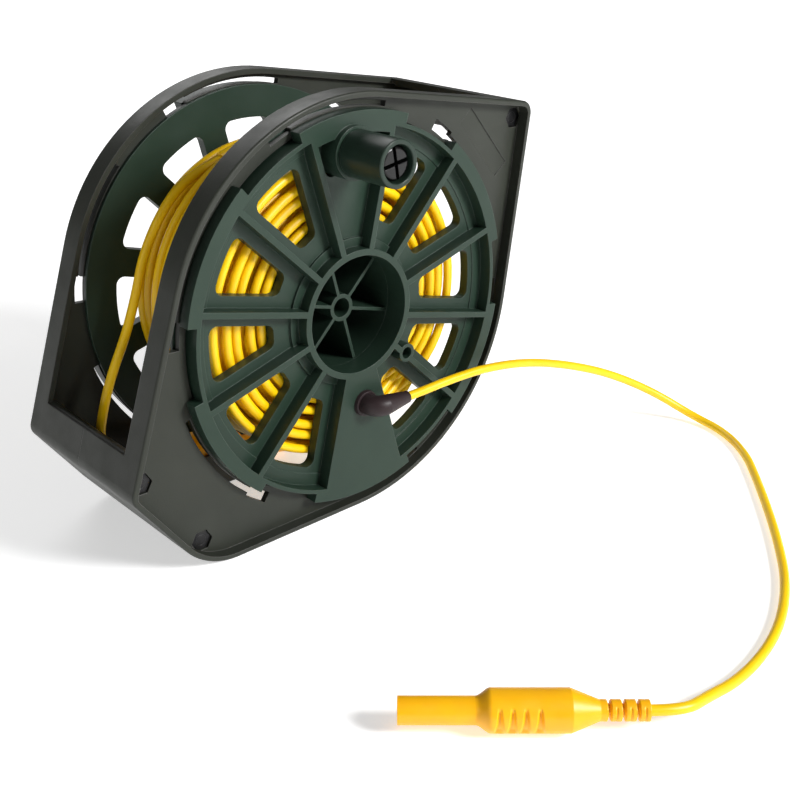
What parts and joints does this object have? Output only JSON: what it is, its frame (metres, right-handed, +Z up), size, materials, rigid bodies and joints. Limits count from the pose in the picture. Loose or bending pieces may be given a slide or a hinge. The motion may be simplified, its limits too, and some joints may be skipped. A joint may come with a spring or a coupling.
{
  "type": "test lead reel",
  "caption": "Hand-cranked storage reel for a long test lead: screwed side plates, a flanged spool with a spinning knob, wound lead with safety plugs.",
  "frame": {"origin": "on the floor, under the middle of the reel without its lead", "axes": "+X right seen from the crank side, +Y away from the crank along the spool axis, +Z up"},
  "size_m": [0.2556, 0.2334, 0.1558],
  "materials": {
    "frame_plastic": "fine matte moulded texture, dark olive grey",
    "spool_plastic": "satin moulded, dark green",
    "knob_plastic": "satin moulded, dark green",
    "post_plastic": "glossy black",
    "fastener_steel": "zinc plated",
    "relief_rubber": "dark brown matte",
    "lead_jacket": "smooth yellow silicone",
    "plug_plastic": "smooth moulded yellow",
    "contact_brass": "nickel plated brass"
  },
  "bodies": {
    "frame": {"front_side_plate": "frame_plastic", "back_side_plate": "frame_plastic", "frame_screws": "fastener_steel", "frame_nuts": "fastener_steel", "plug_cradle": "frame_plastic", "lead_tail": "lead_jacket", "parked_plug_boot": "plug_plastic", "parked_plug_grip": "plug_plastic", "parked_plug_shroud": "plug_plastic", "parked_plug_pin": "contact_brass", "parked_plug_spring": "contact_brass", "lead_fly": "lead_jacket", "plug_boot": "plug_plastic", "plug_grip": "plug_plastic", "plug_shroud": "plug_plastic", "plug_pin": "contact_brass", "plug_spring": "contact_brass"},
    "spool": {"front_flange": "spool_plastic", "back_flange": "spool_plastic", "hub_drum": "spool_plastic", "hub_sleeve": "spool_plastic", "hub_core": "spool_plastic", "flange_screws": "fastener_steel", "knob_post": "post_plastic", "lead_gland": "relief_rubber", "strain_relief": "relief_rubber", "lead_wound": "lead_jacket", "lead_root": "lead_jacket"},
    "knob": {"knob_sleeve": "knob_plastic"}
  },
  "joints": [
    {"name": "spool_spin", "type": "hinge", "parent": "frame", "child": "spool", "pos_m": [0.00402, 0.0115, 0.0779], "axis": [0, 1, 0], "continuous": true},
    {"name": "knob_spin", "type": "hinge", "parent": "spool", "child": "knob", "pos_m": [0.00136, -0.0388, 0.13644], "axis": [0, 1, 0], "continuous": true}
  ]
}
